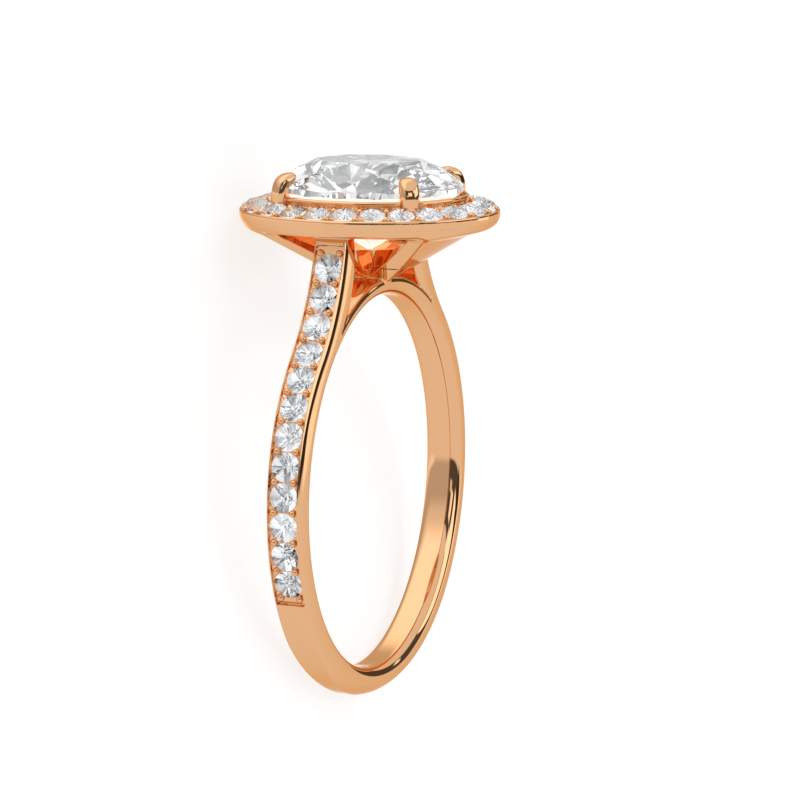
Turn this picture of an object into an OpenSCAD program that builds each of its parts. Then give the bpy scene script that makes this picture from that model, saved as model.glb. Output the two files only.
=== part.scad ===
// Diamond engagement ring: oval stone in four prongs, a tilted halo of small round stones,
// and a cathedral shank with a channel of stones on each limb. Millimetres.
// The ring is described upright about its finger axis, then laid on its side as it rests.

/* [Finger hole] */
// Diameter of the finger hole
finger_d = 17; // [16.9:0.05:17.1]
// Width of the band at its outer face
band_w = 1.78; // [1.74:0.02:1.84]
// Width of the band where it meets the finger
bore_w = 1.04; // [1:0.02:1.08]
// Thickness of the band from finger to outer face
band_t = 1.3; // [1.26:0.02:1.34]

/* [Center stone] */
// Length of the oval stone along the finger
stone_l = 8.66; // [8.56:0.02:8.76]
// Width of the oval stone around the finger
stone_w = 7; // [6.9:0.02:7.1]
// Height of the crown above the girdle
crown_h = 1.1; // [1:0.05:1.2]
// Thickness of the girdle
girdle_h = 0.33; // [0.3:0.01:0.36]
// Depth of the pavilion below the girdle
pavilion_h = 2.68; // [2.6:0.02:2.72]
// Height of the girdle's lower edge above the middle of the finger hole
girdle_z = 13.2; // [13.16:0.02:13.24]

/* [Halo] */
// Overhang of the halo's rim past the center stone
halo_reach = 1.63; // [1.6:0.01:1.68]
// Height of the rim above the middle of the finger hole
rim_z = 12.45; // [12.4:0.01:12.5]
// Slope of the halo's stones, falling outwards, in degrees
halo_slope = 15; // [13:1:16]
// Number of stones in the halo
halo_count = 24; // [20:4:24]
// Diameter of a halo stone
halo_stone_d = 1.2; // [1.1:0.02:1.2]

/* [Limbs] */
// Number of stones on each limb
limb_count = 12; // [11:1:12]
// Diameter of a limb stone
limb_stone_d = 1.25; // [1.15:0.01:1.26]
// Distance from one limb stone to the next
limb_pitch = 1.346; // [1.34:0.002:1.35]
// Angle of the lowest limb stone below the middle of the finger hole
limb_low_angle = 17.8; // [17.4:0.1:18.2]
// Angle above which a limb leaves the round band
limb_turn_angle = 44; // [43.8:0.1:44.2]
// Radius of the hollow curve that carries a limb up to the halo
limb_curve_r = 11; // [10.8:0.1:11.2]
// Diameter of the beads that hold the stones
bead_d = 0.3; // [0.28:0.01:0.31]

/* [Prongs] */
// Diameter of a prong
prong_d = 0.94; // [0.9:0.02:0.98]
// Direction of the prongs from the long axis of the stone, in degrees
prong_angle = 54; // [53:1:55]

/* [Hidden] */

$fn = 96;
gold = [0.9, 0.7, 0.53];
diamond = [0.88, 0.92, 0.96];

finger_r = finger_d / 2;
band_r = finger_r + band_t;
half_w = band_w / 2;
side_draft = (half_w - bore_w / 2) / band_t;

// The lower half of the band is domed by a round-edged disc whose middle lies above the finger's.
dome_r = 1.05;
dome_rise = 0.68;
dome_reach = band_r + dome_rise - dome_r;
dome_steps = 12;

// The oval is four arcs: two end arcs and two flatter side arcs that meet at this angle.
join_angle = 62;
half_l = stone_l / 2;
half_b = stone_w / 2;
arc_gap = (half_l - half_b) / (sin(join_angle) + cos(join_angle) - 1);
end_shift = arc_gap * cos(join_angle);
side_shift = arc_gap * sin(join_angle);
end_r = half_l - end_shift;
side_r = half_b + side_shift;

// A point on the oval grown by t, at an angle from the long axis, which is Y.
function oval_point(angle, t) = let (
    a = abs(angle) % 180,
    f = a > 90 ? 180 - a : a,
    x = f < join_angle ? (end_r + t) * sin(f) : (side_r + t) * sin(f) - side_shift,
    y = f < join_angle ? (end_r + t) * cos(f) + end_shift : (side_r + t) * cos(f)
  ) [x * (angle < 0 ? -1 : 1), y * (a > 90 ? -1 : 1)];

// Distance along a quarter of the oval grown by t, from its long end to an angle.
function quarter_length(angle, t) =
  (min(angle, join_angle) * (end_r + t) + max(angle - join_angle, 0) * (side_r + t)) * PI / 180;

// The angle at a distance along that quarter.
function quarter_angle(s, t) = let (split = quarter_length(join_angle, t))
  s < split ? s / (end_r + t) * 180 / PI : join_angle + (s - split) / (side_r + t) * 180 / PI;

// Halo stone angles, one quarter mirrored into the others, with no stone on the axes.
halo_row_t = 0.92;
per_quarter = halo_count / 4;
function halo_angle(i) =
  quarter_angle((i + 0.5) / per_quarter * quarter_length(90, halo_row_t), halo_row_t);

// Halo section: t is the distance outside the stone's girdle, z the height.
rim_w = 0.16;
lip_h = 0.06;
halo_stone_rise = 0.06;
rail_w = 0.25;
halo_under_z = rim_z - 0.83;
well_t = -0.35;
trough_out_t = halo_reach - rim_w;
trough_out_z = rim_z - lip_h;
trough_in_z = trough_out_z + (trough_out_t - rail_w) * tan(halo_slope);
halo_section = [
  [trough_out_t, trough_out_z], [trough_out_t, rim_z], [halo_reach - 0.03, rim_z],
  [halo_reach, rim_z - 0.06], [halo_reach, rim_z - 0.36], [halo_reach - 0.03, rim_z - 0.55],
  [halo_reach - 0.13, rim_z - 0.68], [halo_reach - 0.32, rim_z - 0.77],
  [halo_reach - 0.62, halo_under_z], [well_t, halo_under_z],
  [well_t, girdle_z - 0.35], [0.02, girdle_z - 0.06], [rail_w - 0.06, girdle_z - 0.06],
  [rail_w, girdle_z - 0.14], [rail_w, trough_in_z]
];

// Everything that must stay clear of the center stone at its girdle.
stone_gap = 0.04;
keep_in = 1.2;
keep_clear = [
  [-keep_in, girdle_z - stone_gap - keep_in * tan(38.5)], [stone_gap, girdle_z - stone_gap],
  [stone_gap, girdle_z + girdle_h + stone_gap],
  [-keep_in, girdle_z + girdle_h + stone_gap + keep_in * tan(37.5)]
];

// Side view of the limbs: the hollow curve crosses the band's circle at a very small angle.
curve_overlap = 0.01;
curve_c = (band_r + limb_curve_r - curve_overlap) * [cos(limb_turn_angle), sin(limb_turn_angle)];
turn_point = band_r * [cos(limb_turn_angle), sin(limb_turn_angle)];
limb_top_z = halo_under_z + 0.13;
bridge_r = finger_r + 0.82;
window_edge = [[4.45, 8.1], [3.85, 8.9], [3.55, 9.5], [3.45, limb_top_z + 1]];

// Straps from the ends of the halo to the bridge: hollow cones about an axis past the middle.
strap_axis_y = -1.5;
strap_low_z = 9.12;
strap_top_z = halo_under_z + 0.13;
strap_rise = strap_top_z - strap_low_z;
strap_out = [2.36, 2.36 + 1.69 * strap_rise];
strap_in = [1.27, 1.27 + 1.86 * strap_rise];
strap_half = [0.26, 0.26 + 1.25 * strap_rise];

// Open cone on the bridge, round the point of the center stone.
cup_r = 1.45;
cup_z = 10.73;
cup_foot_r = 0.1;
cup_hollow = 0.79;
cup_rim = 0.18;

// Beads: how far they stand from the middle of a limb, and how high their middles lie.
bead_w = 0.45;
bead_sink = 0.05;
halo_bead_out = 0.45;
halo_bead_in = 0.47;

// Stones of the limbs, counted from the lowest up.
round_steps = limb_turn_angle + limb_low_angle;
round_length = band_r * round_steps * PI / 180;
seat_depth = 0.2;
channel_w = 1.34;
channel_depth = 0.17;
channel_end = 1;
function limb_turned(s) = (s - round_length) / limb_curve_r * 180 / PI;
function limb_out(s) = s < round_length
  ? s / band_r * 180 / PI - limb_low_angle
  : limb_turn_angle - limb_turned(s);
function limb_place(s) = s < round_length
  ? band_r * [cos(limb_out(s)), sin(limb_out(s))]
  : curve_c - limb_curve_r * [cos(limb_out(s)), sin(limb_out(s))];

// Proportions of a brilliant cut, each as a share of the girdle's radius or diameter.
table_share = 0.57;
star_share = 0.77;
lower_share = 0.24;
small_crown = 0.15;
small_girdle = 0.03;
small_pavilion = 0.42;

// Resting pose: the halo's rim and the lowest edge of the band touch the surface.
sole_c = dome_reach - dome_rise;
sole_b = sole_c - side_draft * (bore_w / 2 - side_draft * finger_r);
sole_a = 1 + side_draft * side_draft;
sole_k = sole_c * sole_c + pow(bore_w / 2 - side_draft * finger_r, 2) - dome_r * dome_r;
sole_r = (sole_b + sqrt(sole_b * sole_b - sole_a * sole_k)) / sole_a;
sole_w = bore_w / 2 + side_draft * (sole_r - finger_r);
rim_y = half_l + halo_reach - 0.03;
rim_low_z = rim_z - 0.55;
rest_angle = atan2(sole_r + rim_low_z, rim_y - sole_w);
rest_lift = rim_y * sin(rest_angle) - rim_low_z * cos(rest_angle);
table_z = girdle_z + girdle_h + crown_h;
reach_front = table_z * sin(rest_angle) + table_share * half_l * cos(rest_angle);
reach_back = sole_c * sin(rest_angle) + dome_r;

module place() {
  translate([0, (reach_front - reach_back) / 2, rest_lift]) rotate([rest_angle, 0, 0]) children();
}

// A 2D shape drawn in the ring's side view, made as deep as w about the middle of the band.
module side_view(w) {
  rotate([90, 0, 0]) linear_extrude(w, center = true) children();
}

// A 2D section of radius and width, turned about an axis through [0, z] of the side view.
module turn_about(z, from = 0, sweep = 360) {
  translate([0, 0, z]) rotate([90, 0, 0]) rotate([0, 0, from])
    rotate_extrude(angle = sweep) children();
}

module both_sides() {
  children();
  mirror([1, 0, 0]) children();
}

// A section of t and z carried round the oval.
module round_oval(section) {
  for (turn = [0, 180]) rotate([0, 0, turn]) {
    translate([0, end_shift, 0]) rotate([0, 0, 90 - join_angle])
      rotate_extrude(angle = 2 * join_angle) polygon([for (p = section) [p[0] + end_r, p[1]]]);
    translate([-side_shift, 0, 0]) rotate([0, 0, join_angle - 90])
      rotate_extrude(angle = 180 - 2 * join_angle)
        polygon([for (p = section) [p[0] + side_r, p[1]]]);
  }
}

// Faceted brilliant: the girdle is an ellipse of half sizes rx and ry, its lower edge at z = 0.
module brilliant(rx, ry, crown, girdle, pavilion) {
  function at(share, angle, z) = [rx * share * cos(angle), ry * share * sin(angle), z];
  star_z = girdle + crown * (1 - star_share * cos(22.5)) / (1 - table_share);
  lower_z = -pavilion * (1 - lower_share * cos(22.5));
  points = concat(
    [for (i = [0:7]) at(table_share, 45 * i, girdle + crown)],
    [for (i = [0:7]) at(star_share, 45 * i + 22.5, star_z)],
    [for (i = [0:15]) at(1, 22.5 * i, girdle)],
    [for (i = [0:15]) at(1, 22.5 * i, 0)],
    [for (i = [0:7]) at(lower_share, 45 * i + 22.5, lower_z)],
    [[0, 0, -pavilion]]);
  top = 16;
  low = 32;
  ring = 48;
  tip = 56;
  faces = concat(
    [[for (i = [7:-1:0]) i]],
    [for (i = [0:7]) [i, (i + 1) % 8, 8 + i]],
    [for (i = [0:7]) [i, 8 + i, top + 2 * i]],
    [for (i = [0:7]) [i, top + 2 * i, 8 + (i + 7) % 8]],
    [for (i = [0:7]) [8 + i, top + 2 * i + 1, top + 2 * i]],
    [for (i = [0:7]) [8 + i, top + (2 * i + 2) % 16, top + 2 * i + 1]],
    [for (i = [0:15]) [top + i, top + (i + 1) % 16, low + (i + 1) % 16]],
    [for (i = [0:15]) [top + i, low + (i + 1) % 16, low + i]],
    [for (i = [0:7]) [ring + i, low + 2 * i, low + 2 * i + 1]],
    [for (i = [0:7]) [ring + i, low + 2 * i + 1, low + (2 * i + 2) % 16]],
    [for (i = [0:7]) [tip, low + 2 * i, ring + i]],
    [for (i = [0:7]) [tip, ring + (i + 7) % 8, low + 2 * i]]);
  polyhedron(points, faces, convexity = 2);
}

module small_brilliant(d) {
  brilliant(d / 2, d / 2, small_crown * d, small_girdle * d, small_pavilion * d);
}

// Pocket for a small stone: a cone under the girdle and a short straight wall round it.
module small_seat(d) {
  gap = 0.03;
  r = d / 2 + gap;
  translate([0, 0, -small_pavilion * d - 2 * gap])
    cylinder(h = small_pavilion * d + 2 * gap, r1 = 0.02, r2 = r);
  cylinder(h = 0.5, r = r);
}

// Carries a stone or its pocket to its place in the halo.
module in_halo(i) {
  angle = halo_angle(i);
  p = oval_point(angle, halo_row_t);
  z = trough_out_z + (trough_out_t - halo_row_t) * tan(halo_slope) + halo_stone_rise;
  translate([p[0], p[1], z]) rotate([0, 0, -angle]) rotate([-halo_slope, 0, 0]) children();
}

module round_halo() {
  for (turn = [0, 1], i = [0:per_quarter - 1]) mirror([0, turn, 0]) {
    in_halo(i) children();
    mirror([1, 0, 0]) in_halo(i) children();
  }
}

// Carries a stone or its pocket to its place on the near limb.
module on_limb(i) {
  s = i * limb_pitch;
  p = limb_place(s);
  n = limb_out(s);
  translate([p[0], 0, p[1]]) rotate([0, 90 - n, 0]) translate([0, 0, -seat_depth]) children();
}

module side_outline() {
  difference() {
    union() {
      circle(band_r);
      both_sides_2d() difference() {
        polygon([[3, limb_top_z], [3, 8], 0.9 * turn_point, turn_point,
          turn_point + [2, 2], [9, limb_top_z]]);
        translate(curve_c) circle(limb_curve_r);
      }
    }
    difference() {
      polygon(concat(window_edge, [for (i = [3:-1:0]) [-window_edge[i][0], window_edge[i][1]]]));
      circle(bridge_r);
    }
  }
}

module both_sides_2d() {
  children();
  mirror([1, 0]) children();
}

// The room that the band's sides leave: slanted in to the finger, domed round the lower half.
module band_room() {
  turn_about(0) polygon([
    [0, -bore_w / 2], [finger_r, -bore_w / 2], [band_r, -half_w], [20, -half_w],
    [20, half_w], [band_r, half_w], [finger_r, bore_w / 2], [0, bore_w / 2]]);
}

module dome_room() {
  turn_about(dome_rise) polygon(concat([[0, -dome_r]],
    [for (i = [0:dome_steps]) let (a = -90 + 180 * i / dome_steps)
      [dome_reach + dome_r * cos(a), dome_r * sin(a)]], [[0, dome_r]]));
  translate([-20, -5, 0]) cube([40, 10, 20]);
}

// Channel for the stones of one limb, cut from the outer face.
module channel() {
  low = limb_low_angle + channel_end / band_r * 180 / PI;
  high = limb_turned((limb_count - 1) * limb_pitch + channel_end);
  turn_about(0, -low, low + limb_turn_angle)
    translate([band_r - channel_depth, -channel_w / 2]) square([1, channel_w]);
  translate([curve_c[0], 0, curve_c[1]]) rotate([90, 0, 0])
    rotate([0, 0, 180 + limb_turn_angle - high]) rotate_extrude(angle = high)
      translate([limb_curve_r - 1, -channel_w / 2]) square([1 + channel_depth, channel_w]);
}

module shank() {
  difference() {
    intersection() {
      side_view(band_w) side_outline();
      band_room();
      dome_room();
    }
    rotate([90, 0, 0]) cylinder(h = 10, r = finger_r, center = true);
    both_sides() {
      channel();
      for (i = [0:limb_count - 1]) on_limb(i) small_seat(limb_stone_d);
    }
  }
}

module strap() {
  intersection() {
    translate([0, strap_axis_y, 0]) rotate_extrude(angle = 180)
      polygon([[strap_out[0], strap_low_z], [strap_out[1], strap_top_z],
        [strap_in[1], strap_top_z], [strap_in[0], strap_low_z]]);
    side_view(20) polygon([[-strap_half[0], strap_low_z], [strap_half[0], strap_low_z],
      [strap_half[1], strap_top_z], [-strap_half[1], strap_top_z]]);
  }
}

// A prong's post and its rounded claw, bent over the girdle.
module prong() {
  p = oval_point(prong_angle, 0.14);
  q = oval_point(prong_angle, -0.16);
  claw_z = girdle_z + girdle_h + 0.14;
  foot_z = halo_under_z + 0.1;
  r = prong_d / 2;
  translate([p[0], p[1], foot_z]) cylinder(h = claw_z - foot_z, r = r);
  translate([p[0], p[1], claw_z]) sphere(r);
  translate([q[0], q[1], claw_z + 0.02]) sphere(r * 0.9);
}

// The open cone stands on its narrow foot, which is sunk in the bridge.
module cup() {
  foot_z = bridge_r - 0.3;
  difference() {
    translate([0, 0, foot_z]) cylinder(h = cup_z - foot_z, r1 = cup_foot_r, r2 = cup_r);
    translate([0, 0, cup_z - cup_hollow])
      cylinder(h = cup_hollow + 0.01, r1 = 0.02, r2 = cup_r - cup_rim);
  }
}

// A pair of beads across a limb, s along its outer face.
module bead_pair(s) {
  p = limb_place(s);
  for (side = [-1, 1]) translate([p[0], 0, p[1]]) rotate([0, 90 - limb_out(s), 0])
    translate([0, side * bead_w, bead_sink - channel_depth]) sphere(bead_d / 2, $fn = 32);
}

// A bead between two halo stones, on the outer or the inner side of their row.
module halo_bead(i, t) {
  angle = i == 0 ? 0 : (halo_angle(i - 1) + halo_angle(i)) / 2;
  p = oval_point(angle, t);
  z = trough_out_z + (trough_out_t - t) * tan(halo_slope) + bead_sink;
  translate([p[0], p[1], z]) sphere(bead_d / 2, $fn = 32);
}

// The halo with its seats cut.
module halo() {
  difference() {
    round_oval(halo_section);
    round_oval(keep_clear);
    round_halo() small_seat(halo_stone_d);
  }
}

// The four prongs, cut back from the stone's girdle.
module prongs() {
  difference() {
    for (turn = [0, 1]) mirror([0, turn, 0]) both_sides() prong();
    round_oval(keep_clear);
    round_halo() small_seat(halo_stone_d);
  }
}

module limb_beads() {
  both_sides() for (i = [0:limb_count]) bead_pair((i - 0.5) * limb_pitch);
}

module halo_beads() {
  for (turn = [0, 1], i = [0:per_quarter - 1]) mirror([0, turn, 0]) both_sides() {
    halo_bead(i, halo_row_t + halo_bead_out);
    halo_bead(i, halo_row_t - halo_bead_in);
  }
}

module ring_metal() {
  color(gold) place() {
    shank();
    for (turn = [0, 1]) mirror([0, turn, 0]) strap();
    halo();
    prongs();
    cup();
    limb_beads();
    halo_beads();
  }
}

module center_stone() {
  color(diamond) place() translate([0, 0, girdle_z])
    brilliant(half_b, half_l, crown_h, girdle_h, pavilion_h);
}

module halo_stones() {
  color(diamond) place() round_halo() small_brilliant(halo_stone_d);
}

module limb_stone(side, i) {
  color(diamond) place() mirror([side == "near" ? 0 : 1, 0, 0])
    on_limb(i - 1) small_brilliant(limb_stone_d);
}

ring_metal();
center_stone();
halo_stones();
for (side = ["near", "far"], i = [1:limb_count])
  limb_stone(side, i);
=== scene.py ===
import math

import bmesh
import bpy
import numpy as np
from mathutils import Matrix


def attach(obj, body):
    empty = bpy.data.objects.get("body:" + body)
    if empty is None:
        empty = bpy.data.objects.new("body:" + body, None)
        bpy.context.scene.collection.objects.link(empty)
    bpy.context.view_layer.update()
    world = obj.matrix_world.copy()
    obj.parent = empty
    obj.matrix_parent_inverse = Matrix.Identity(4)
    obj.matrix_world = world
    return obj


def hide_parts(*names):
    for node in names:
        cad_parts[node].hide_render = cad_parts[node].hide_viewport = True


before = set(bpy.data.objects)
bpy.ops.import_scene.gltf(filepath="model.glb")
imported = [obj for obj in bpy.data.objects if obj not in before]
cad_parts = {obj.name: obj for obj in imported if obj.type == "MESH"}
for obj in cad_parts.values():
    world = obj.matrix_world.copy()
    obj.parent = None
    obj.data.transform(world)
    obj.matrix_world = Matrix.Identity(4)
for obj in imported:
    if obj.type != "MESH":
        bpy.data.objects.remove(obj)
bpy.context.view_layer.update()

MM = 0.001

# How the ring lies: it is built upright in millimetres about the middle of the finger hole,
# X across the finger, Y along the finger, Z up to the head, and then laid on its side.
REST_ANGLE = math.radians(76.45581880)
REST_LIFT = 2.97816280
REST_SHIFT = 2.62224594

# Shank and limbs. Names that end in ROUND or FILLET are radii of roundings, and a SLANT turns
# a measure taken level across a slope into the distance from it.
FINGER_R = 8.5
BAND_R = 9.8
HALF_W = 0.89
BORE_ROUND = 0.53
EDGE_ACROSS = 0.24
EDGE_DEEP = 0.9
DOME_R = 1.05
DOME_RISE = 0.68
BRIDGE_R = 9.32
BRIDGE_ROUND = 0.3
LIMB_BACK_X = 7.7
LIMB_BACK_Z = 10.8
LIMB_BACK_R = 4.3
LIMB_SIDE_ROUND = 0.4
LIMB_BRIDGE_FILLET = 0.06
LIMB_FOOT_X = 5.2
LIMB_FOOT_Z = 7.5
LIMB_TOP_Z = 11.9
TURN = math.radians(44.0)
LIMB_CURVE_R = 11.0
LIMB_CURVE_X = (BAND_R + LIMB_CURVE_R) * math.cos(TURN)
LIMB_CURVE_Z = (BAND_R + LIMB_CURVE_R) * math.sin(TURN)
LOW = math.radians(17.8)
LIMB_COUNT = 12
LIMB_PITCH = 1.346
LIMB_STONE_D = 1.29
ROUND_LENGTH = BAND_R * (TURN + LOW)
CHANNEL_END = 1.0
CHANNEL_HALF = 0.67
CHANNEL_DEPTH = 0.17
CHANNEL_CORNER = 0.12
CHANNEL_ROUND = 0.03
SEAT_DEPTH = 0.2
SEAT_GAP = 0.02
SEAT_SLOPE = 0.84
SEAT_SLANT = 0.643
LIMB_SEAT_LOW = 0.62
HALO_SEAT_LOW = 0.6
BAND_NEAR = 0.3

# Head.
STONE_L = 4.33
STONE_W = 3.5
CROWN = 1.1
GIRDLE = 0.33
PAVILION = 2.68
GIRDLE_Z = 13.2
HALO_REACH = 1.63
RIM_Z = 12.45
RIM_W = 0.16
RIM_ROUND = 0.11
RIM_DEEP = 0.25
LIP = 0.06
TROUGH_ROUND = 0.03
WELL_T = -0.35
WALL_T = 0.16
WALL_TOP_Z = 13.0
RAIL_T = 0.11
RAIL_Z = 13.02
RAIL_R = 0.12
RAIL_FILLET = 0.03
HALO_FILLET = 0.04
STONE_RISE = 0.06
HALO_UNDER_Z = 11.58
HALO_ROUND = 0.66
CRISP_HALF = 1.0
CRISP_FADE = 2.2
CRISP_LIFT = 0.1
CRISP_ROUND = 0.14
SLOPE = math.radians(15.0)
STRAP_AXIS = 1.5
STRAP_Z = 9.12
STRAP_OUT = 2.36
STRAP_RUN = 1.69
STRAP_SLANT = 0.509
STRAP_IN = 1.27
STRAP_RUN_IN = 1.86
STRAP_SLANT_IN = 0.477
STRAP_HALF = 0.26
STRAP_FLARE = 1.25
FLARE_SLANT = 0.625
STRAP_LOW_Z = 9.0
STRAP_TOP_Z = 12.0
STRAP_INSET = 0.32
STRAP_ROUND = 0.06
STRAP_FILLET = 0.25
WELL_SPREAD = 3
CUP_R = 1.45
CUP_Z = 10.73
CUP_RUN = 0.79
CUP_SLANT = 0.78
CUP_WALL = 0.18
CUP_RUN_IN = 1.6
CUP_SLANT_IN = 0.53
CUP_ROUND = 0.05
CUP_FILLET = 0.1
LOW_SEAM = 9.9
HIGH_SEAM = 12.0
HEAD_LOW_Z = 8.6
HEAD_FILLET = 0.15
HALO_COUNT = 24
HALO_ROW = 0.92
HALO_STONE_D = 1.2
PRONG_ANGLE = math.radians(54.0)
PRONG_T = 0.12
PRONG_R = 0.43
PRONG_FOOT_Z = 11.7
PRONG_BEND_Z = 13.25
PRONG_BEND = 0.5
PRONG_TIP_Z = 13.73
PRONG_SQUARE = 2.6
CROWN_RUN = 1.3
PAVILION_RUN = 1.28
STONE_GAP = 0.02
STONE_SLANT = 0.6
JOIN = math.radians(62.0)
ARC_GAP = (STONE_L - STONE_W) / (math.sin(JOIN) + math.cos(JOIN) - 1)
END_SHIFT = ARC_GAP * math.cos(JOIN)
SIDE_SHIFT = ARC_GAP * math.sin(JOIN)
END_R = STONE_L - END_SHIFT
SIDE_R = STONE_W + SIDE_SHIFT
TROUGH_T = HALO_REACH - RIM_W
TROUGH_Z = RIM_Z - LIP


def smooth_max(a, b, r):
    return np.minimum(-r, np.maximum(a, b)) + np.hypot(np.maximum(r + a, 0), np.maximum(r + b, 0))


def smooth_min(a, b, r):
    return -smooth_max(-a, -b, r)


def round_corner(side, height, a, b):
    """Signed distance to a corner rounded by a quarter of an ellipse of half sizes a and b."""
    u, v = np.maximum(side + a, 0) / a, np.maximum(height + b, 0) / b
    r = np.hypot(u, v)
    d = (r - 1) * r / np.maximum(np.hypot(u / a, v / b), 1e-6)
    return np.where(r > 0.05, d, np.maximum(side, height))


def limb_coords(x, z):
    """Height over the outer face, distance along it from the lowest stone, and radius."""
    ax = np.abs(x)
    angle = np.arctan2(z, ax)
    radius = np.hypot(ax, z)
    up = angle > TURN
    height = np.where(up, LIMB_CURVE_R - np.hypot(ax - LIMB_CURVE_X, z - LIMB_CURVE_Z), radius - BAND_R)
    turned = TURN - np.arctan2(LIMB_CURVE_Z - z, LIMB_CURVE_X - ax)
    along = np.where(up, ROUND_LENGTH + LIMB_CURVE_R * turned, BAND_R * (angle + LOW))
    return height, along, radius, ax


def stone_seat(q, h, d, depth):
    r = d / 2 + SEAT_GAP
    wall = np.where(h < 0, (q - r - h / SEAT_SLOPE) * SEAT_SLANT, q - r)
    return np.maximum(wall, -h - depth)


def limb_channel(y, height, along):
    """The channel of a limb, with round corners seen from above."""
    low, high = -CHANNEL_END, (LIMB_COUNT - 1) * LIMB_PITCH + CHANNEL_END
    u = np.abs(y) - CHANNEL_HALF + CHANNEL_CORNER
    v = np.abs(along - (low + high) / 2) - (high - low) / 2 + CHANNEL_CORNER
    slot = np.hypot(np.maximum(u, 0), np.maximum(v, 0)) + np.minimum(np.maximum(u, v), 0)
    return smooth_max(slot - CHANNEL_CORNER, -height - CHANNEL_DEPTH, CHANNEL_ROUND)


def limb_seats(y, height, along):
    """The seat of the limb stone that is nearest."""
    i = np.clip(np.round(along / LIMB_PITCH), 0, LIMB_COUNT - 1)
    q = np.hypot(along - i * LIMB_PITCH, y)
    return stone_seat(q, height + SEAT_DEPTH, LIMB_STONE_D, LIMB_SEAT_LOW)


def band_field(x, y, z):
    """Signed distance to the shank, the limbs and the bridge."""
    height, along, radius, ax = limb_coords(x, z)
    side = np.abs(y) - HALF_W
    bridge = smooth_max(radius - BRIDGE_R, side, BRIDGE_ROUND)
    limb = np.hypot(ax - LIMB_BACK_X, z - LIMB_BACK_Z) - LIMB_BACK_R
    limb = smooth_max(limb, side, LIMB_SIDE_ROUND)
    rest = np.maximum(np.minimum(LIMB_FOOT_X - ax, z - LIMB_FOOT_Z), side)
    body = np.minimum(rest, smooth_min(limb, bridge, LIMB_BRIDGE_FILLET))
    body = np.maximum(body, round_corner(side, height, EDGE_ACROSS, EDGE_DEEP))
    body = smooth_max(body, FINGER_R - radius, BORE_ROUND)
    past = np.maximum(np.hypot(ax, z - DOME_RISE) - BAND_R - DOME_RISE + DOME_R, 0)
    body = np.where(z < 0, np.maximum(body, np.hypot(past, y) - DOME_R), body)
    body = np.maximum(body, z - LIMB_TOP_Z)
    body = smooth_max(body, -limb_channel(y, height, along), CHANNEL_ROUND)
    return np.maximum(body, -limb_seats(y, height, along))


def oval_t(x, y):
    """Distance outside the oval of the center stone's girdle, which is four arcs."""
    ax, ay = np.abs(x), np.abs(y)
    end = np.hypot(ax, ay - END_SHIFT) - END_R
    flank = np.hypot(ax + SIDE_SHIFT, ay) - SIDE_R
    return np.where(ax < (ay - END_SHIFT) * math.tan(JOIN), end, flank)


def oval_point(angle, t):
    """A point on the oval grown by t, and its outward direction, angle from the long axis Y."""
    a = abs(math.remainder(angle, 2 * math.pi))
    f = math.pi - a if a > math.pi / 2 else a
    flank = f > JOIN
    r = (SIDE_R if flank else END_R) + t
    x = r * math.sin(f) - (SIDE_SHIFT if flank else 0)
    y = r * math.cos(f) + (0 if flank else END_SHIFT)
    sx = -1 if math.remainder(angle, 2 * math.pi) < 0 else 1
    sy = -1 if a > math.pi / 2 else 1
    return np.array([x * sx, y * sy]), np.array([math.sin(f) * sx, math.cos(f) * sy])


def quarter_length(angle, t):
    return min(angle, JOIN) * (END_R + t) + max(angle - JOIN, 0) * (SIDE_R + t)


def quarter_angle(s, t):
    split = quarter_length(JOIN, t)
    return s / (END_R + t) if s < split else JOIN + (s - split) / (SIDE_R + t)


PER_QUARTER = HALO_COUNT // 4


def halo_angle(i):
    return quarter_angle((i + 0.5) / PER_QUARTER * quarter_length(math.pi / 2, HALO_ROW), HALO_ROW)


def trough_z(t):
    return TROUGH_Z + (TROUGH_T - t) * math.tan(SLOPE)


def beside_oval(angle, t, ax, ay):
    """How far points lie out from the oval's point at an angle, and along the oval from it."""
    p, n = oval_point(angle, t)
    dx, dy = ax - p[0], ay - p[1]
    return dx * n[0] + dy * n[1], dx * n[1] - dy * n[0]


def halo_field(t, ay, z):
    """The halo's plate and rim, and the wall and rail round the center stone."""
    blend = np.clip((ay - CRISP_HALF) / CRISP_FADE, 0, 1)
    under = HALO_UNDER_Z + CRISP_LIFT * (1 - blend) - z
    top = (z - trough_z(t)) * math.cos(SLOPE)
    corner = CRISP_ROUND + (HALO_ROUND - CRISP_ROUND) * blend
    plate = smooth_max(smooth_max(t - HALO_REACH, under, corner), top, TROUGH_ROUND)
    rim = smooth_max(np.abs(t - HALO_REACH + RIM_W / 2) - RIM_W / 2, z - RIM_Z, RIM_ROUND)
    rim = np.maximum(rim, RIM_Z - RIM_DEEP - z)
    wall = np.maximum(np.maximum(t - WALL_T, WELL_T - t), np.maximum(z - WALL_TOP_Z, HALO_UNDER_Z - z))
    rail = np.hypot(t - RAIL_T, z - RAIL_Z) - RAIL_R
    body = smooth_min(np.minimum(plate, rim), smooth_min(wall, rail, RAIL_FILLET), HALO_FILLET)
    return np.maximum(body, WELL_T - t)


def halo_seats(ax, ay, z):
    """The pockets of the halo stones in one quarter, which stands for all four."""
    rise = z - trough_z(HALO_ROW) - STONE_RISE
    pockets = np.full_like(z, np.inf)
    for i in range(PER_QUARTER):
        out, side = beside_oval(halo_angle(i), HALO_ROW, ax, ay)
        height = rise * math.cos(SLOPE) + out * math.sin(SLOPE)
        level = out * math.cos(SLOPE) - rise * math.sin(SLOPE)
        pocket = stone_seat(np.hypot(level, side), height, HALO_STONE_D, HALO_SEAT_LOW)
        pockets = np.minimum(pockets, pocket)
    return pockets


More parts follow.
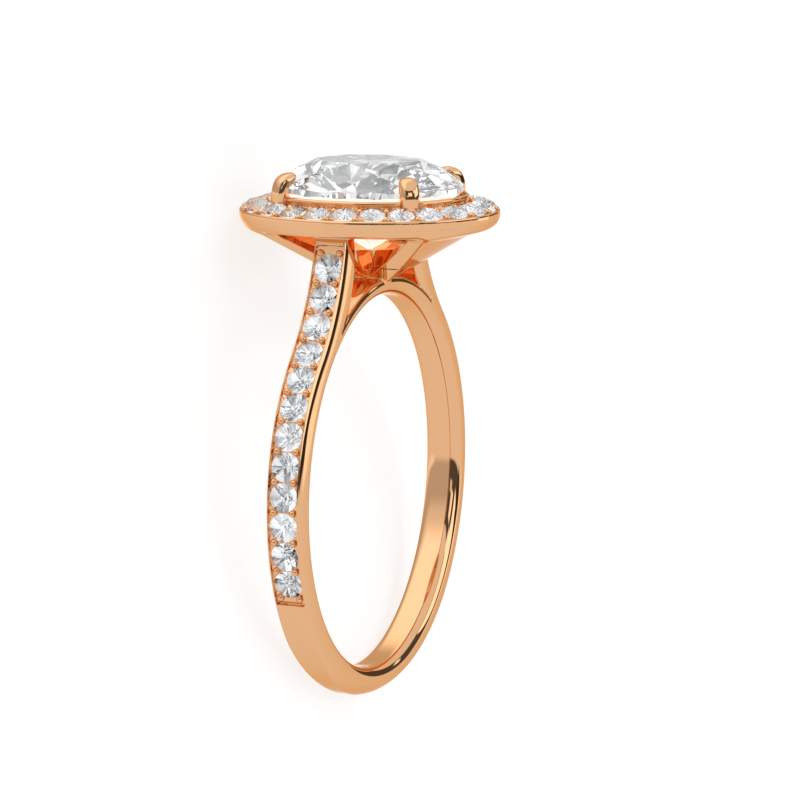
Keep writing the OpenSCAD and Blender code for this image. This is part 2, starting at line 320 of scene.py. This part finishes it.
def strap_field(ax, ay, z, t):
    """The two straps between the halo's long ends and the bridge."""
    q = np.hypot(ax, ay + STRAP_AXIS)
    outer = (q - STRAP_OUT - STRAP_RUN * (z - STRAP_Z)) * STRAP_SLANT
    inner = (STRAP_IN + STRAP_RUN_IN * (z - STRAP_Z) - q) * STRAP_SLANT_IN
    edge = (ax - STRAP_HALF - STRAP_FLARE * (z - STRAP_Z)) * FLARE_SLANT
    strap = smooth_max(smooth_max(outer, inner, STRAP_ROUND), edge, STRAP_ROUND)
    strap = np.maximum(np.maximum(strap, -ay), np.maximum(STRAP_LOW_Z - z, z - STRAP_TOP_Z))
    return np.maximum(strap, t - HALO_REACH + STRAP_INSET)


def cup_field(ax, ay, z):
    """The open cone round the center stone's point."""
    q = np.hypot(ax, ay)
    outer = (q - CUP_R - CUP_RUN * (z - CUP_Z)) * CUP_SLANT
    inner = (CUP_R - CUP_WALL + CUP_RUN_IN * (z - CUP_Z) - q) * CUP_SLANT_IN
    cup = np.maximum(smooth_max(outer, z - CUP_Z, CUP_ROUND), inner)
    return np.maximum(cup, STRAP_LOW_Z - z)


def prong_field(ax, ay, z):
    """A post that leans in over the girdle, its section and tip between round and square."""
    out, side = beside_oval(PRONG_ANGLE, PRONG_T, ax, ay)
    lean = out + PRONG_BEND * np.maximum(z - PRONG_BEND_Z, 0) ** 2
    above = np.maximum(z - PRONG_TIP_Z, 0)
    power = PRONG_SQUARE
    claw = (np.abs(side) ** power + np.abs(lean) ** power + above ** power) ** (1 / power)
    return np.maximum(claw - PRONG_R, PRONG_FOOT_Z - z)


def stone_room(t, z):
    """The space that the center stone takes, and a small gap round it."""
    slope = np.where(z > GIRDLE_Z + GIRDLE / 2,
                     t + (z - GIRDLE_Z - GIRDLE) * CROWN_RUN, t - (z - GIRDLE_Z) * PAVILION_RUN)
    return (np.maximum(slope, t) - STONE_GAP) * STONE_SLANT


def head_field(x, y, z):
    """Signed distance to the halo, the straps, the cup and the prongs."""
    t = oval_t(x, y)
    ax, ay = np.abs(x), np.abs(y)
    body = np.maximum(halo_field(t, ay, z), -halo_seats(ax, ay, z))
    body = smooth_min(body, strap_field(ax, ay, z, t), STRAP_FILLET)
    body = np.maximum(body, WELL_T - t - WELL_SPREAD * np.maximum(HALO_UNDER_Z - z, 0))
    body = smooth_min(body, cup_field(ax, ay, z), CUP_FILLET)
    body = np.minimum(body, prong_field(ax, ay, z))
    return np.maximum(body, -stone_room(t, z))


def ring_field(x, y, z):
    """The band and the head as one soldered metal, with small fillets where they meet.

    Well past the band's sides a rough distance to it is enough.
    """
    body = np.maximum(np.abs(y) - HALF_W, 0) + BAND_NEAR
    near = np.abs(y) < HALF_W + BAND_NEAR
    body[near] = band_field(x[near], y[near], z[near])
    high = z > HEAD_LOW_Z
    body[high] = smooth_min(body[high], head_field(x[high], y[high], z[high]), HEAD_FILLET)
    return body


def slab_field(low, high):
    """The metal between two levels."""
    def field(x, y, z):
        return np.maximum(ring_field(x, y, z), np.maximum(low - z, z - high))
    return field


# The surface is found on a grid, and its points are then drawn to where the field is zero.
KEEP_TO_MEAN = 0.05
POINT_REACH = 0.9
DRAW_ROUNDS = 2
DRAW_REACH = 0.3
LEAST_SLOPE_SQUARED = 0.2
NORMAL_STEP = 0.012
PROBE_IN = 0.4
CREASE = math.radians(24)


def gradient(field, p, e=0.004):
    g = np.empty_like(p)
    for k in range(3):
        d = np.zeros(3)
        d[k] = e
        a, b = p + d, p - d
        g[:, k] = field(a[:, 0], a[:, 1], a[:, 2]) - field(b[:, 0], b[:, 1], b[:, 2])
    return g / (2 * e)


def unit(v):
    return v / np.maximum(np.linalg.norm(v, axis=1, keepdims=True), 1e-9)


def at_most(move, reach):
    """The same moves, none of them longer than a reach."""
    size = np.linalg.norm(move, axis=1, keepdims=True)
    return move * np.minimum(1, reach / np.maximum(size, 1e-9))


def grid_crossings(f, low, step):
    """Where the grid's edges pass through the surface, and the four cells round each of them."""
    inside = f < 0
    n = f.shape
    cells = [m - 1 for m in n]
    places, rings = [], []
    for a in range(3):
        b, c = (a + 1) % 3, (a + 2) % 3
        lo = [slice(None)] * 3
        hi = [slice(None)] * 3
        lo[a], hi[a] = slice(0, -1), slice(1, None)
        cross = np.argwhere(inside[tuple(lo)] != inside[tuple(hi)])
        ok = (cross[:, b] > 0) & (cross[:, b] < n[b] - 1) & (cross[:, c] > 0) & (cross[:, c] < n[c] - 1)
        cross = cross[ok]
        end = cross.copy()
        end[:, a] += 1
        f0, f1 = f[tuple(cross.T)], f[tuple(end.T)]
        p = np.array(low) + step * cross
        p[:, a] += step * f0 / (f0 - f1)
        ring = []
        for db, dc in ((-1, -1), (0, -1), (0, 0), (-1, 0)):
            cell = cross.copy()
            cell[:, b] += db
            cell[:, c] += dc
            ring.append(np.ravel_multi_index(cell.T, cells))
        ring = np.stack(ring, 1)
        flip = f0 > 0
        ring[flip] = ring[flip][:, ::-1]
        places.append(p)
        rings.append(ring)
    return np.concatenate(places), np.concatenate(rings)


def cell_points(field, places, faces, step):
    """A point for each cell, where the surface's planes at the crossings round it nearly meet."""
    total = faces.max() + 1
    normals = unit(gradient(field, places))
    count = np.zeros(total)
    mean = np.zeros((total, 3))
    for k in range(4):
        np.add.at(count, faces[:, k], 1)
        np.add.at(mean, faces[:, k], places)
    mean /= count[:, None]
    ata = np.zeros((total, 3, 3))
    atb = np.zeros((total, 3))
    outer = normals[:, :, None] * normals[:, None, :]
    for k in range(4):
        rel = places - mean[faces[:, k]]
        np.add.at(ata, faces[:, k], outer)
        np.add.at(atb, faces[:, k], normals * np.sum(normals * rel, 1)[:, None])
    ata += np.eye(3) * (KEEP_TO_MEAN * count)[:, None, None]
    shift = np.linalg.solve(ata, atb[:, :, None])[:, :, 0]
    return mean + at_most(shift, POINT_REACH * step)


def draw_onto(field, verts, step):
    """The points moved to where the field is zero."""
    for _ in range(DRAW_ROUNDS):
        g = gradient(field, verts)
        v = field(verts[:, 0], verts[:, 1], verts[:, 2])
        move = g * (v / np.maximum(np.sum(g * g, 1), LEAST_SLOPE_SQUARED))[:, None]
        verts = verts - at_most(move, DRAW_REACH * step)
    return verts


def corner_normals(shade, verts, faces):
    """A normal for each face corner: that of its point or, by a crease, that of its own side."""
    at_point = unit(gradient(shade, verts, NORMAL_STEP))[faces]
    corners = verts[faces]
    centre = corners.mean(1)
    probe = corners + PROBE_IN * (centre[:, None] - corners)
    own_side = unit(gradient(shade, probe.reshape(-1, 3))).reshape(-1, 4, 3)
    smooth = np.sum(own_side * at_point, 2) > math.cos(CREASE)
    return np.where(smooth[:, :, None], at_point, own_side)


def surface(field, low, high, step, shade):
    """Dual contouring: points, four-sided faces and a normal for each face corner."""
    n = [int(math.ceil((high[k] - low[k]) / step)) + 1 for k in range(3)]
    axes = [low[k] + step * np.arange(n[k]) for k in range(3)]
    places, rings = grid_crossings(field(*np.meshgrid(*axes, indexing="ij")), low, step)
    _, faces = np.unique(rings, return_inverse=True)
    faces = faces.reshape(-1, 4)
    verts = draw_onto(field, cell_points(field, places, faces, step), step)
    return verts, faces, corner_normals(shade, verts, faces)


def lay(p):
    """From the upright frame in millimetres to the resting frame in metres."""
    p = np.asarray(p, float)
    c, s = math.cos(REST_ANGLE), math.sin(REST_ANGLE)
    y = p[..., 1] * c - p[..., 2] * s + REST_SHIFT
    z = p[..., 1] * s + p[..., 2] * c + REST_LIFT
    return np.stack([p[..., 0], y, z], -1) * MM


def turn_down(v):
    c, s = math.cos(REST_ANGLE), math.sin(REST_ANGLE)
    return np.stack([v[..., 0], v[..., 1] * c - v[..., 2] * s, v[..., 1] * s + v[..., 2] * c], -1)


def add_mesh(name, verts, faces, material, smooth=True, normals=None, slots=None):
    mesh = bpy.data.meshes.new(name)
    mesh.from_pydata(lay(verts).tolist(), [], [list(map(int, f)) for f in faces])
    mesh.update()
    mesh.polygons.foreach_set("use_smooth", [smooth] * len(mesh.polygons))
    for m in material if isinstance(material, list) else [material]:
        mesh.materials.append(m)
    if slots is not None:
        mesh.polygons.foreach_set("material_index", slots)
    if normals is not None:
        mesh.normals_split_custom_set(turn_down(normals).reshape(-1, 3).tolist())
    obj = bpy.data.objects.new(name, mesh)
    bpy.context.scene.collection.objects.link(obj)
    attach(obj, "root")
    return obj


def plane_of(a, b, c):
    a, b, c = (np.array(p, float) for p in (a, b, c))
    n = np.cross(b - a, c - a)
    n /= np.linalg.norm(n)
    return a, n


FACET_DEGREES = 22.5
BLOCK = 8


def brilliant(rx, ry, crown, girdle, pavilion, sides, table=0.57, star=0.77, lower=0.24, back=-0.1):
    """Round brilliant cut from planes and stretched to an oval; its girdle's lower edge is z = 0."""
    def at(share, step, z):
        angle = math.radians(FACET_DEGREES * step)
        return (share * math.cos(angle), share * math.sin(angle), z)

    cos_half = math.cos(math.radians(FACET_DEGREES))
    star_z = girdle + crown * (1 - star * cos_half) / (1 - table)
    lower_z = -pavilion * (1 - lower * cos_half)
    planes = [(np.array([0, 0, girdle + crown]), np.array([0, 0, 1.0]))]
    for i in range(sides):
        a = 2 * math.pi * (i + 0.5) / sides
        n = np.array([math.cos(a), math.sin(a), 0])
        planes.append((n * math.cos(math.pi / sides), n))
    for i in range(0, 16, 2):
        corner = at(table, i, girdle + crown)
        planes.append(plane_of(corner, at(star, i - 1, star_z), at(star, i + 1, star_z)))
        planes.append(plane_of(corner, at(table, i + 2, girdle + crown), at(star, i + 1, star_z)))
        planes.append(plane_of(at(1, i, 0), at(lower, i + 1, lower_z), (0, 0, -pavilion)))
        for side in (1, -1):
            planes.append(plane_of(at(1, i, girdle), at(star, i + side, star_z), at(1, i + side, girdle)))
            planes.append(plane_of(at(1, i, 0), at(lower, i + side, lower_z), at(1, i + side, 0)))
    bm = bmesh.new()
    bmesh.ops.create_cube(bm, size=BLOCK)
    middle = np.array([0, 0, girdle / 2])
    for point, n in planes:
        if np.dot(middle - point, n) > 0:
            n = -n
        geom = bm.verts[:] + bm.edges[:] + bm.faces[:]
        cut = bmesh.ops.bisect_plane(bm, geom=geom, dist=1e-7, plane_co=point, plane_no=n, clear_outer=True)
        edges = [e for e in cut["geom_cut"] if isinstance(e, bmesh.types.BMEdge)]
        if len(edges) > 2:
            bmesh.ops.edgeloop_fill(bm, edges=edges)
    bmesh.ops.remove_doubles(bm, verts=bm.verts[:], dist=1e-5)
    bmesh.ops.recalc_face_normals(bm, faces=bm.faces[:])
    bm.verts.index_update()
    verts = np.array([v.co for v in bm.verts]) * [rx, ry, 1]
    faces = [[v.index for v in f.verts] for f in bm.faces]
    under = [int(f.normal.z < back) for f in bm.faces]
    bm.free()
    return verts, faces, under


def gather(verts, faces, places):
    """Copies of one mesh at several places, each a pair of origin and three axes."""
    all_v, all_f = [], []
    for origin, axes in places:
        start = len(all_v) * len(verts)
        all_v.append(verts @ np.array(axes) + origin)
        all_f += [[i + start for i in f] for f in faces]
    return np.concatenate(all_v), all_f


def limb_place(s, side, lift=0.0, across=0.0):
    """Origin and axes at a distance along a limb's outer face."""
    if s < ROUND_LENGTH:
        a = s / BAND_R - LOW
        p = BAND_R * np.array([math.cos(a), math.sin(a)])
    else:
        a = TURN - (s - ROUND_LENGTH) / LIMB_CURVE_R
        p = np.array([LIMB_CURVE_X - LIMB_CURVE_R * math.cos(a), LIMB_CURVE_Z - LIMB_CURVE_R * math.sin(a)])
    n = np.array([side * math.cos(a), 0, math.sin(a)])
    y = np.array([0, 1.0, 0])
    x = np.cross(y, n)
    return np.array([side * p[0], across, p[1]]) + n * lift, [x, y, n]


# The signs of X and Y in each quarter of the halo.
QUARTERS = [(1, 1), (1, -1), (-1, 1), (-1, -1)]


def halo_place(i, sx, sy):
    """Origin and axes of a halo stone in the quarter with these signs of X and Y."""
    p, n = oval_point(halo_angle(i), HALO_ROW)
    out = np.array([n[0] * sx, n[1] * sy, 0])
    up = np.array([0, 0, 1.0]) * math.cos(SLOPE) + out * math.sin(SLOPE)
    along = np.cross(up, out)
    along /= np.linalg.norm(along)
    origin = np.array([p[0] * sx, p[1] * sy, trough_z(HALO_ROW) + STONE_RISE])
    return origin, [np.cross(along, up), along, up]


def sphere(radius, rings=8, sides=14):
    verts = [[0, 0, radius]]
    for i in range(1, rings):
        a = math.pi * i / rings
        for j in range(sides):
            b = 2 * math.pi * j / sides
            across = radius * math.sin(a)
            verts.append([across * math.cos(b), across * math.sin(b), radius * math.cos(a)])
    verts.append([0, 0, -radius])
    faces = []
    for j in range(sides):
        k = (j + 1) % sides
        faces.append([0, 1 + j, 1 + k])
        for i in range(rings - 2):
            a = 1 + i * sides
            faces.append([a + j, a + sides + j, a + sides + k, a + k])
        a = 1 + (rings - 2) * sides
        faces.append([a + j, len(verts) - 1, a + k])
    return np.array(verts), faces


def new_material(name):
    m = bpy.data.materials.new(name)
    m.use_nodes = True
    return m, m.node_tree.nodes, m.node_tree.links


# Materials. Gold that is seen by way of two or more reflections, and not through a stone, glows
# a little, as if from endless ones.
DEEP_GLOW = 0.1
TWO_REFLECTIONS = 1.5
NO_STONE = 0.5
GOLD = (0.77, 0.44, 0.232, 1)
GOLD_EDGE = (0.86, 0.62, 0.44, 1)
GOLD_GLOW = (1, 0.62, 0.36, 1)
GOLD_GRAIN = 900
GOLD_SMOOTH = 0.02
GOLD_ROUGH = 0.05


def gold_material():
    m, nodes, links = new_material("gold")

    def maths(operation, a, b):
        node = nodes.new("ShaderNodeMath")
        node.operation = operation
        links.new(a, node.inputs[0])
        if isinstance(b, (int, float)):
            node.inputs[1].default_value = b
        else:
            links.new(b, node.inputs[1])
        return node.outputs[0]

    bsdf = nodes["Principled BSDF"]
    bsdf.inputs["Metallic"].default_value = 1.0
    bsdf.inputs["Base Color"].default_value = GOLD
    bsdf.inputs["Specular Tint"].default_value = GOLD_EDGE
    noise = nodes.new("ShaderNodeTexNoise")
    noise.inputs["Scale"].default_value = GOLD_GRAIN
    ramp = nodes.new("ShaderNodeMapRange")
    ramp.inputs["To Min"].default_value = GOLD_SMOOTH
    ramp.inputs["To Max"].default_value = GOLD_ROUGH
    links.new(noise.outputs["Fac"], ramp.inputs["Value"])
    links.new(ramp.outputs["Result"], bsdf.inputs["Roughness"])
    bsdf.inputs["Emission Color"].default_value = GOLD_GLOW
    path = nodes.new("ShaderNodeLightPath")
    deep = maths("GREATER_THAN", path.outputs["Glossy Depth"], TWO_REFLECTIONS)
    plain = maths("LESS_THAN", path.outputs["Transmission Depth"], NO_STONE)
    glow = maths("MULTIPLY", maths("MULTIPLY", deep, plain), DEEP_GLOW)
    links.new(glow, bsdf.inputs["Emission Strength"])
    return m


DIAMOND_IOR = 2.42


def diamond_material(name):
    m, nodes, links = new_material(name)
    nodes.remove(nodes["Principled BSDF"])
    glass = nodes.new("ShaderNodeBsdfGlass")
    glass.inputs["IOR"].default_value = DIAMOND_IOR
    glass.inputs["Roughness"].default_value = 0.0
    glass.inputs["Color"].default_value = (1, 1, 1, 1)
    links.new(glass.outputs[0], nodes["Material Output"].inputs["Surface"])
    return m


# From outside, the back of a stone has a painted glow that stands in for the light that leaves through its
# point.
BACK_GLOW = 0.75
BACK_GLOW_COLOR = (0.92, 0.96, 1, 1)


def back_material(name, shine, dark, light):
    """A stone's back, which throws light back: each facet also has its own painted glow, seen from within,
    and painted shade where that glow falls below zero.
    """
    m, nodes, links = new_material(name)
    bsdf = nodes["Principled BSDF"]
    bsdf.inputs["Metallic"].default_value = 1.0
    bsdf.inputs["Base Color"].default_value = (shine, shine, shine, 1)
    bsdf.inputs["Roughness"].default_value = 0.0
    bsdf.inputs["Emission Color"].default_value = BACK_GLOW_COLOR
    geometry = nodes.new("ShaderNodeNewGeometry")
    facet = nodes.new("ShaderNodeTexWhiteNoise")
    links.new(geometry.outputs["True Normal"], facet.inputs["Vector"])
    glow = nodes.new("ShaderNodeMapRange")
    glow.inputs["To Min"].default_value = dark
    glow.inputs["To Max"].default_value = light
    links.new(facet.outputs["Value"], glow.inputs["Value"])
    side = nodes.new("ShaderNodeMix")
    side.inputs["A"].default_value = BACK_GLOW
    links.new(geometry.outputs["Backfacing"], side.inputs["Factor"])
    links.new(glow.outputs["Result"], side.inputs["B"])
    links.new(side.outputs["Result"], bsdf.inputs["Emission Strength"])
    return m


gold = gold_material()
diamond = diamond_material("diamond")
# The stones' backs mirror light and carry a painted glow. On the small stones' backs, some facets seen from
# within also carry painted shade.
glowing_back = back_material("diamond_back", shine=0.9, dark=0.0, light=0.12)
small_glowing_back = back_material("small_diamond_back", shine=0.25, dark=-0.15, light=1.0)
small_materials = [diamond, small_glowing_back]

# The metal is cut at two levels that don't show. Each row: name, levels below and above,
# half sizes of the box round it, and the step of its surface.
METAL_PIECES = [
    ("band_metal", -10.1, LOW_SEAM, 10.1, 3.0, 0.07),
    ("gallery_metal", LOW_SEAM, HIGH_SEAM, 6.6, 6.2, 0.056),
    ("halo_metal", HIGH_SEAM, 14.5, 6.6, 6.2, 0.052),
]
BOX_MARGIN = 0.2


def make_metal():
    coarse = 1
    for name, below, above, half_x, half_y, step in METAL_PIECES:
        low = (-half_x, -half_y, below - BOX_MARGIN)
        high = (half_x, half_y, above + BOX_MARGIN)
        verts, faces, normals = surface(slab_field(below, above), low, high, step * coarse, ring_field)
        piece = add_mesh(name, verts, faces, gold, normals=normals)
    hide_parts("ring_metal")


make_metal()

# Stones. The sides are those of the girdle. The small stones' heights are shares of their diameter.
CENTER_SIDES = 96
SMALL_SIDES = 32
SMALL_CROWN = 0.15
SMALL_GIRDLE = 0.03
SMALL_PAVILION = 0.42
SMALL_BACK = 0.3


def make_center_stone():
    verts, faces, under = brilliant(STONE_W, STONE_L, CROWN, GIRDLE, PAVILION, CENTER_SIDES)
    verts = verts + [0, 0, GIRDLE_Z]
    center = add_mesh("center_stone_cut", verts, faces, [diamond, glowing_back], smooth=False, slots=under)
    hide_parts("center_stone")


def small_cut(d):
    heights = SMALL_CROWN * d, SMALL_GIRDLE * d, SMALL_PAVILION * d
    return brilliant(d / 2, d / 2, *heights, SMALL_SIDES, back=SMALL_BACK)


def make_limb_stones():
    v, f, u = small_cut(LIMB_STONE_D)
    for name, side in (("near", 1), ("far", -1)):
        places = [limb_place(i * LIMB_PITCH, side, -SEAT_DEPTH) for i in range(LIMB_COUNT)]
        gv, gf = gather(v, f, places)
        obj = add_mesh("limb_stones_" + name, gv, gf, small_materials, smooth=False, slots=u * LIMB_COUNT)
        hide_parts(*["limb_stone_%s_%d" % (name, i + 1) for i in range(LIMB_COUNT)])


def make_halo_stones():
    v, f, u = small_cut(HALO_STONE_D)
    places = [halo_place(i, sx, sy) for sx, sy in QUARTERS for i in range(PER_QUARTER)]
    gv, gf = gather(v, f, places)
    obj = add_mesh("halo_stones_cut", gv, gf, small_materials, smooth=False, slots=u * HALO_COUNT)
    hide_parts("halo_stones")


make_center_stone()
make_limb_stones()
make_halo_stones()

# Beads, in pairs across a limb and on both sides of the halo's row, between the stones.
BEAD_R = 0.16
BEAD_RISE = 0.05
BEAD_ACROSS = 0.45
BEAD_OUT = 0.45
BEAD_IN = 0.47


def limb_bead_places():
    places = []
    for side in (1, -1):
        for i in range(LIMB_COUNT + 1):
            for across in (-BEAD_ACROSS, BEAD_ACROSS):
                places.append(limb_place((i - 0.5) * LIMB_PITCH, side, BEAD_RISE - CHANNEL_DEPTH, across))
    return places


def bead_angle(i):
    """The angle half way between two halo stones of a quarter, or at an end of the quarter."""
    if i == 0:
        return 0
    if i == PER_QUARTER:
        return math.pi / 2
    return (halo_angle(i - 1) + halo_angle(i)) / 2


def halo_bead_places():
    places = []
    for sx, sy in QUARTERS:
        for i in range(PER_QUARTER + 1):
            if (i == 0 and sx < 0) or (i == PER_QUARTER and sy < 0):
                continue
            for t in (HALO_ROW + BEAD_OUT, HALO_ROW - BEAD_IN):
                p, _ = oval_point(bead_angle(i), t)
                places.append((np.array([p[0] * sx, p[1] * sy, trough_z(t) + BEAD_RISE]), np.eye(3)))
    return places


def make_beads():
    bead_verts, bead_faces = sphere(BEAD_R)
    verts, faces = gather(bead_verts, bead_faces, limb_bead_places() + halo_bead_places())
    beads = add_mesh("beads", verts, faces, gold)


make_beads()

# The CAD nodes, which the pieces above replace, get the same kinds of material.
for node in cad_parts.values():
    node.data.materials.clear()
    node.data.materials.append(gold if node.name == "ring_metal" else diamond)

# Floor.
FLOOR_HALF = 2.0
FLOOR_GLOW = 0.72
FLOOR_WHITE = 0.36


def make_floor():
    """A wide pale floor that glows a little, so that the ring's shadow on it stays light."""
    mesh = bpy.data.meshes.new("floor")
    r = FLOOR_HALF
    mesh.from_pydata([(-r, -r, 0), (r, -r, 0), (r, r, 0), (-r, r, 0)], [], [(0, 1, 2, 3)])
    obj = bpy.data.objects.new("floor", mesh)
    bpy.context.scene.collection.objects.link(obj)
    m, nodes, links = new_material("floor")
    bsdf = nodes["Principled BSDF"]
    bsdf.inputs["Base Color"].default_value = (FLOOR_WHITE, FLOOR_WHITE, FLOOR_WHITE, 1)
    bsdf.inputs["Roughness"].default_value = 0.9
    bsdf.inputs["Specular IOR Level"].default_value = 0.0
    bsdf.inputs["Emission Color"].default_value = (1, 1, 1, 1)
    bsdf.inputs["Emission Strength"].default_value = FLOOR_GLOW
    mesh.materials.append(m)
    obj.visible_glossy = False
    obj.visible_transmission = False


make_floor()

# Camera, placed about the ring as it stands upright and then laid down with it.
AZ = math.radians(22.72)
EL = math.radians(10.03)
ROLL = math.radians(-0.31)
DIST = 160.0
AIM_RIGHT = 1.309
AIM_UP = 3.612
FOCAL_PIXELS = 3516.1
PHOTO_PIXELS = 800
SENSOR = 36
CLIP_START = 0.01


def make_camera():
    back = np.array([math.cos(EL) * math.cos(AZ), math.cos(EL) * math.sin(AZ), math.sin(EL)])
    right0 = np.cross(-back, [0, 0, 1])
    right0 /= np.linalg.norm(right0)
    up0 = np.cross(right0, -back)
    right = math.cos(ROLL) * right0 + math.sin(ROLL) * up0
    up = -math.sin(ROLL) * right0 + math.cos(ROLL) * up0
    cam_data = bpy.data.cameras.new("camera")
    cam_data.sensor_width = SENSOR
    cam_data.lens = FOCAL_PIXELS / PHOTO_PIXELS * SENSOR
    cam_data.clip_start = CLIP_START
    place = np.eye(4)
    place[:3, :3] = np.stack([turn_down(right), turn_down(up), turn_down(back)], 1)
    place[:3, 3] = lay(DIST * back + AIM_RIGHT * right + AIM_UP * up)
    cam = bpy.data.objects.new("camera", cam_data)
    cam.matrix_world = Matrix(place.tolist())
    bpy.context.scene.collection.objects.link(cam)
    bpy.context.scene.camera = cam


make_camera()

# Studio light. Directions are those of the upright ring, in degrees: azimuth about its upright line,
# from +X towards +Y, and elevation. White all round, with grey walls, dark flags and bright panels.
# Each row: azimuth from, azimuth to, elevation from, elevation to, lean, brightness, softness.
PANELS = [
    (-190, 0, -3, 96, 0.0, 0.64, 3),
    (-190, -138, -3, 42, 0.0, 0.8, 4),
    (-138, 0, 22, 96, 0.0, 0.95, 6),
    (-190, 0, 38, 96, 0.0, 1.55, 10),
    (-160, -128, -22, 0, 0.0, 1.3, 4),
    (-120, -24, -6, -1, 0.0, 1.2, 2),
    (-8, 176, -4, 36, 0.0, 0.10, 1.2),
    (131, 190, 34, 90, -0.52, 1.0, 1.2),
    (60, 72, 25, 36, 0.0, 1.5, 2),
    (71, 131, 5, 33, 0.0, 1.75, 1.2),
    (94, 136, -6, 7, 0.0, 0.04, 1.2),
    (126, 147, -9, -2, 0.0, 1.5, 1.2),
    (30, 52, 12, 28, 0.0, 1.45, 1.2),
    (13, 33, 8, 15, 0.0, 0.95, 1.2),
    (148, 152, 10, 20, 0.0, 1.6, 1.2),
]

# What is seen through the stones: a studio broken into cells of light, a few of them dark.
CELL_SCALE = 7.0
CELL_LOW = 0.42
CELL_HIGH = 1.2
CELL_DARK = 0.15
DARK_SHARE = 0.16
DARK_SOFT = 0.03
DEGREES = 180 / math.pi


def make_world():
    world = bpy.data.worlds.new("studio")
    bpy.context.scene.world = world
    world.use_nodes = True
    nodes, links = world.node_tree.nodes, world.node_tree.links

    def put(socket, value):
        if isinstance(value, (int, float)):
            socket.default_value = value
        else:
            links.new(value, socket)

    def maths(operation, a, b=0.0):
        node = nodes.new("ShaderNodeMath")
        node.operation = operation
        put(node.inputs[0], a)
        put(node.inputs[1], b)
        return node.outputs[0]

    def rise(value, edge, soft):
        """0 below an edge and 1 above it, with a soft change."""
        node = nodes.new("ShaderNodeMapRange")
        node.interpolation_type = "SMOOTHSTEP"
        put(node.inputs["Value"], value)
        node.inputs["From Min"].default_value = edge - soft
        node.inputs["From Max"].default_value = edge + soft
        return node.outputs["Result"]

    def between(value, low, high, soft):
        """1 between two edges and 0 outside them."""
        return maths("MULTIPLY", rise(value, low, soft), maths("SUBTRACT", 1.0, rise(value, high, soft)))

    def blend(old, new, share):
        """The old value where the share is 0 and the new one where it is 1."""
        return maths("ADD", old, maths("MULTIPLY", share, maths("SUBTRACT", new, old)))

    coords = nodes.new("ShaderNodeTexCoord")
    stand = nodes.new("ShaderNodeVectorRotate")
    stand.rotation_type = "X_AXIS"
    stand.inputs["Angle"].default_value = -REST_ANGLE
    links.new(coords.outputs["Generated"], stand.inputs["Vector"])
    parts = nodes.new("ShaderNodeSeparateXYZ")
    links.new(stand.outputs["Vector"], parts.inputs["Vector"])
    azimuth = maths("MULTIPLY", maths("ARCTAN2", parts.outputs["Y"], parts.outputs["X"]), DEGREES)
    elevation = maths("MULTIPLY", maths("ARCSINE", parts.outputs["Z"]), DEGREES)
    level = 1.0
    for az0, az1, el0, el1, lean, bright, soft in PANELS:
        tilted = maths("SUBTRACT", elevation, maths("MULTIPLY", maths("SUBTRACT", azimuth, az0), lean))
        across = between(azimuth, az0, az1, soft)
        along = between(tilted, el0, el1, soft)
        level = blend(level, bright, maths("MULTIPLY", across, along))
    cells = nodes.new("ShaderNodeTexVoronoi")
    cells.inputs["Scale"].default_value = CELL_SCALE
    links.new(coords.outputs["Generated"], cells.inputs["Vector"])
    shade = nodes.new("ShaderNodeSeparateColor")
    links.new(cells.outputs["Color"], shade.inputs["Color"])
    sparkle = maths("ADD", CELL_LOW, maths("MULTIPLY", shade.outputs["Red"], CELL_HIGH - CELL_LOW))
    lit = rise(shade.outputs["Green"], DARK_SHARE, DARK_SOFT)
    sparkle = blend(CELL_DARK, sparkle, lit)
    path = nodes.new("ShaderNodeLightPath")
    level = blend(level, sparkle, path.outputs["Is Transmission Ray"])
    level = blend(level, 1.0, path.outputs["Is Camera Ray"])
    links.new(level, nodes["Background"].inputs["Strength"])
    nodes["Background"].inputs["Color"].default_value = (1, 1, 1, 1)


make_world()
scene = bpy.context.scene
scene.view_settings.view_transform = "Standard"
scene.cycles.use_denoising = True
scene.cycles.max_bounces = 16
scene.cycles.glossy_bounces = 8
scene.cycles.transmission_bounces = 14
